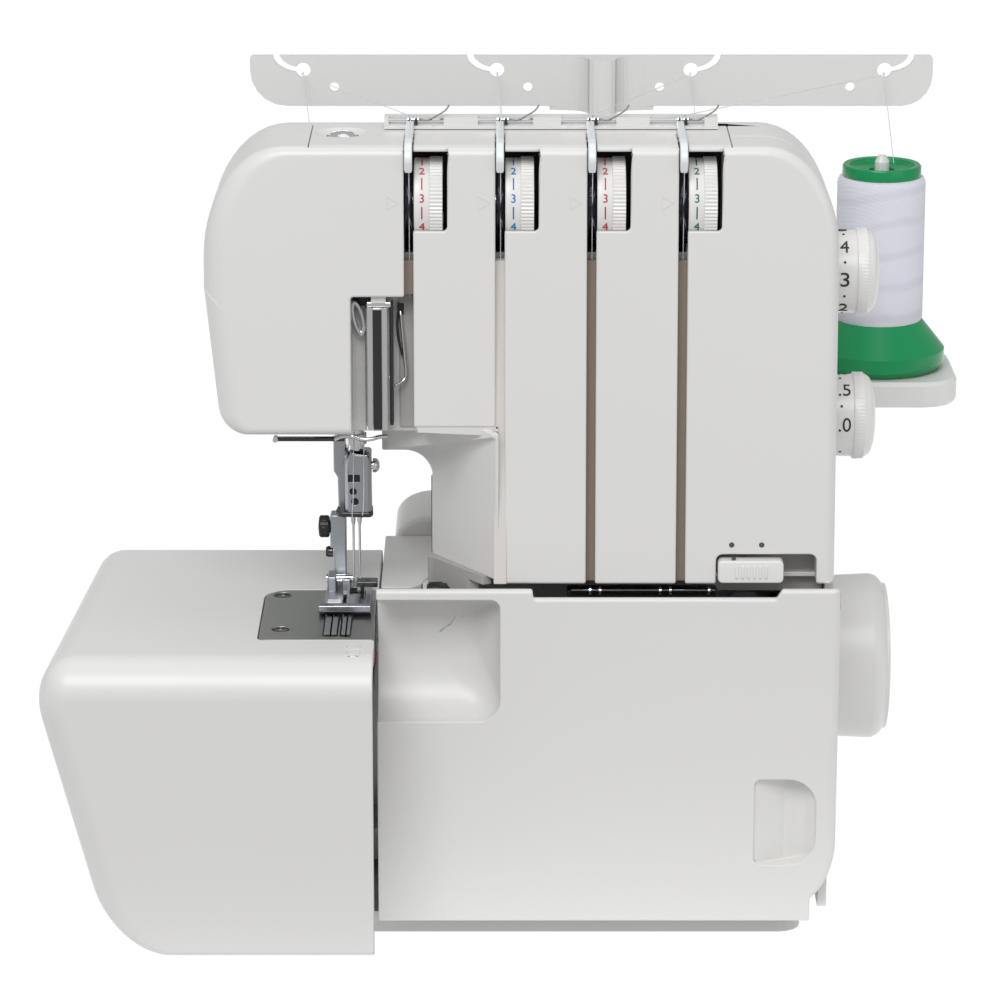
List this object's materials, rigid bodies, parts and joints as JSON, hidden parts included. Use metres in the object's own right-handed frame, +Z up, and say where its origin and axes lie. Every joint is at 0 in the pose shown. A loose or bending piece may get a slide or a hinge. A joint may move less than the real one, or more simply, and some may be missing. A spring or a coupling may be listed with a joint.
{
  "type": "overlock sewing machine",
  "caption": "Home overlock sewing machine with slide-off cloth plate, drop-down looper cover, tension dials, telescopic thread guide and rear spool stand.",
  "frame": {"origin": "centre of the footprint, on the surface that the feet stand on", "axes": "+X to the machine's right, where the handwheel is; +Y to its back, where the spools stand; +Z up"},
  "size_m": [0.336, 0.282, 0.2908],
  "materials": {
    "casing_white": "satin moulded",
    "base_grey": "matt moulded",
    "rubber_black": "matt",
    "cast_metal": "cast, painted silver",
    "satin_steel": "satin",
    "bright_steel": "polished",
    "black_plastic": "matt",
    "spool_green": "gloss",
    "thread_white": "spun thread"
  },
  "bodies": {
    "root": {"base_tray": "base_grey", "foot_front_left": "rubber_black", "foot_front_right": "rubber_black", "foot_rear_left": "rubber_black", "foot_rear_right": "rubber_black", "machine_frame": "cast_metal", "front_cover": "casing_white", "top_cover": "casing_white", "rear_cover": "casing_white", "side_cover": "casing_white", "throat_cover": "casing_white", "needle_plate": "satin_steel", "spool_stand": "casing_white", "pole_outer": "casing_white", "top_guide_plate": "casing_white", "top_guide_rod": "bright_steel", "tension_bracket": "satin_steel", "take_up_cover": "bright_steel", "motor": "black_plastic", "drive_belt": "rubber_black", "power_inlet": "black_plastic", "thread_1": "thread_white", "thread_2": "thread_white", "thread_3": "thread_white", "thread_4": "thread_white"},
    "cover_slide": {"cover_hinge_rod": "satin_steel"},
    "looper_cover": {"looper_cover": "casing_white"},
    "cloth_plate": {"cloth_plate": "casing_white"},
    "guide_bar": {"guide_bar": "casing_white"},
    "pole_inner": {"pole_inner": "satin_steel"},
    "stitch_length_dial": {"stitch_length_dial": "casing_white"},
    "differential_dial": {"differential_dial": "casing_white"},
    "handwheel": {"handwheel": "casing_white", "main_shaft": "bright_steel"},
    "motor_pulley": {"motor_pulley": "satin_steel"},
    "hem_slider": {"hem_slider": "casing_white"},
    "pressure_screw": {"pressure_screw": "bright_steel"},
    "needle_bar": {"needle_bar": "bright_steel", "needle_clamp": "satin_steel", "needle_left": "bright_steel", "needle_right": "bright_steel"},
    "presser_bar": {"presser_bar": "bright_steel", "foot_holder": "satin_steel"},
    "lifter_lever": {"lifter_lever": "satin_steel"},
    "presser_foot": {"presser_foot": "satin_steel"},
    "feed_dog_main": {"feed_dog_main": "satin_steel"},
    "feed_dog_differential": {"feed_dog_differential": "satin_steel"},
    "upper_looper": {"upper_looper": "bright_steel"},
    "lower_looper": {"lower_looper": "bright_steel"},
    "upper_knife": {"upper_knife": "satin_steel"},
    "lower_knife": {"lower_knife": "satin_steel"},
    "power_switch": {"power_switch": "black_plastic"},
    "tension_dial_1": {"tension_dial_1": "casing_white"},
    "spool_1": {"spool_1": "spool_green"},
    "tension_dial_2": {"tension_dial_2": "casing_white"},
    "spool_2": {"spool_2": "spool_green"},
    "tension_dial_3": {"tension_dial_3": "casing_white"},
    "spool_3": {"spool_3": "spool_green"},
    "tension_dial_4": {"tension_dial_4": "casing_white"},
    "spool_4": {"spool_4": "spool_green"}
  },
  "joints": [
    {"name": "cover_slide", "type": "slide", "parent": "root", "child": "cover_slide", "axis": [1, 0, 0], "range_m": [0, 0.006]},
    {"name": "looper_cover_hinge", "type": "hinge", "parent": "cover_slide", "child": "looper_cover", "pos_m": [0, -0.0979, 0.0145], "axis": [1, 0, 0], "range_deg": [0, 80]},
    {"name": "cloth_plate_slide", "type": "slide", "parent": "root", "child": "cloth_plate", "axis": [-1, 0, 0], "range_m": [0, 0.11]},
    {"name": "guide_bar_lift", "type": "slide", "parent": "root", "child": "guide_bar", "axis": [0, 0, 1], "range_m": [0, 0.24], "deforming": ["thread_1", "thread_2", "thread_3", "thread_4"]},
    {"name": "pole_inner_lift", "type": "slide", "parent": "root", "child": "pole_inner", "axis": [0, 0, 1], "range_m": [0, 0.12]},
    {"name": "tension_dial_1_turn", "type": "hinge", "parent": "root", "child": "tension_dial_1", "pos_m": [-0.03885, -0.072, 0.2662], "axis": [1, 0, 0], "range_deg": [-240, 80]},
    {"name": "tension_dial_2_turn", "type": "hinge", "parent": "root", "child": "tension_dial_2", "pos_m": [-0.00755, -0.072, 0.2662], "axis": [1, 0, 0], "range_deg": [-240, 80]},
    {"name": "tension_dial_3_turn", "type": "hinge", "parent": "root", "child": "tension_dial_3", "pos_m": [0.02385, -0.072, 0.2662], "axis": [1, 0, 0], "range_deg": [-240, 80]},
    {"name": "tension_dial_4_turn", "type": "hinge", "parent": "root", "child": "tension_dial_4", "pos_m": [0.05515, -0.072, 0.2662], "axis": [1, 0, 0], "range_deg": [-240, 80]},
    {"name": "stitch_length_turn", "type": "hinge", "parent": "root", "child": "stitch_length_dial", "pos_m": [0.107, -0.045, 0.2349], "axis": [1, 0, 0], "range_deg": [-100, 50]},
    {"name": "differential_turn", "type": "hinge", "parent": "root", "child": "differential_dial", "pos_m": [0.107, -0.045, 0.1824], "axis": [1, 0, 0], "range_deg": [-50, 125]},
    {"name": "handwheel_turn", "type": "hinge", "parent": "root", "child": "handwheel", "pos_m": [0.11, -0.01, 0.081], "axis": [1, 0, 0], "continuous": true},
    {"name": "motor_pulley_turn", "type": "hinge", "parent": "root", "child": "motor_pulley", "pos_m": [0.091, 0.031, 0.048], "axis": [1, 0, 0], "continuous": true},
    {"name": "hem_slider_move", "type": "slide", "parent": "root", "child": "hem_slider", "axis": [1, 0, 0], "range_m": [0, 0.0105]},
    {"name": "pressure_screw_turn", "type": "hinge", "parent": "root", "child": "pressure_screw", "pos_m": [-0.064, -0.0564, 0.281], "axis": [0, 0, 1], "range_deg": [-360, 360]},
    {"name": "needle_bar_drive", "type": "slide", "parent": "root", "child": "needle_bar", "axis": [0, 0, -1], "range_m": [0, 0.0205]},
    {"name": "lifter_turn", "type": "hinge", "parent": "root", "child": "lifter_lever", "pos_m": [-0.067, -0.044, 0.212], "axis": [1, 0, 0], "range_deg": [0, 25]},
    {"name": "presser_lift", "type": "slide", "parent": "root", "child": "presser_bar", "axis": [0, 0, 1], "range_m": [0, 0.0056]},
    {"name": "presser_foot_tilt", "type": "hinge", "parent": "presser_bar", "child": "presser_foot", "pos_m": [-0.067, -0.052, 0.1254], "axis": [1, 0, 0], "range_deg": [-10, 0]},
    {"name": "feed_dog_main_move", "type": "slide", "parent": "root", "child": "feed_dog_main", "axis": [0, 1, 0], "range_m": [-0.0015, 0.0015]},
    {"name": "feed_dog_differential_move", "type": "slide", "parent": "root", "child": "feed_dog_differential", "axis": [0, 1, 0], "range_m": [-0.0015, 0.0015]},
    {"name": "lower_looper_swing", "type": "hinge", "parent": "root", "child": "lower_looper", "pos_m": [-0.03, -0.069, 0.062], "axis": [0, 1, 0], "range_deg": [-10, 8]},
    {"name": "upper_looper_swing", "type": "hinge", "parent": "root", "child": "upper_looper", "pos_m": [-0.008, -0.066, 0.054], "axis": [0, 1, 0], "range_deg": [-10, 4]},
    {"name": "upper_knife_drive", "type": "slide", "parent": "root", "child": "upper_knife", "axis": [0, 0, -1], "range_m": [0, 0.004]},
    {"name": "lower_knife_retract", "type": "slide", "parent": "root", "child": "lower_knife", "axis": [-1, 0, 0], "range_m": [0, 0.003], "stiffness_N_per_m": 300},
    {"name": "spool_1_spin", "type": "hinge", "parent": "root", "child": "spool_1", "pos_m": [-0.085, 0.105, 0.1633], "axis": [0, 0, 1], "continuous": true},
    {"name": "spool_2_spin", "type": "hinge", "parent": "root", "child": "spool_2", "pos_m": [-0.0106, 0.105, 0.1633], "axis": [0, 0, 1], "continuous": true},
    {"name": "spool_3_spin", "type": "hinge", "parent": "root", "child": "spool_3", "pos_m": [0.0639, 0.105, 0.1633], "axis": [0, 0, 1], "continuous": true},
    {"name": "spool_4_spin", "type": "hinge", "parent": "root", "child": "spool_4", "pos_m": [0.1383, 0.105, 0.1633], "axis": [0, 0, 1], "continuous": true},
    {"name": "power_switch_rock", "type": "hinge", "parent": "root", "child": "power_switch", "pos_m": [0.1046, -0.071, 0.033], "axis": [0, 1, 0], "range_deg": [0, 9]}
  ],
  "couplings": [
    {"joint": "pole_inner_lift", "follows": "guide_bar_lift", "ratio": 0.5},
    {"joint": "motor_pulley_turn", "follows": "handwheel_turn", "ratio": 3.5},
    {"joint": "presser_lift", "follows": "lifter_turn", "m_per_rad": 0.0128}
  ]
}
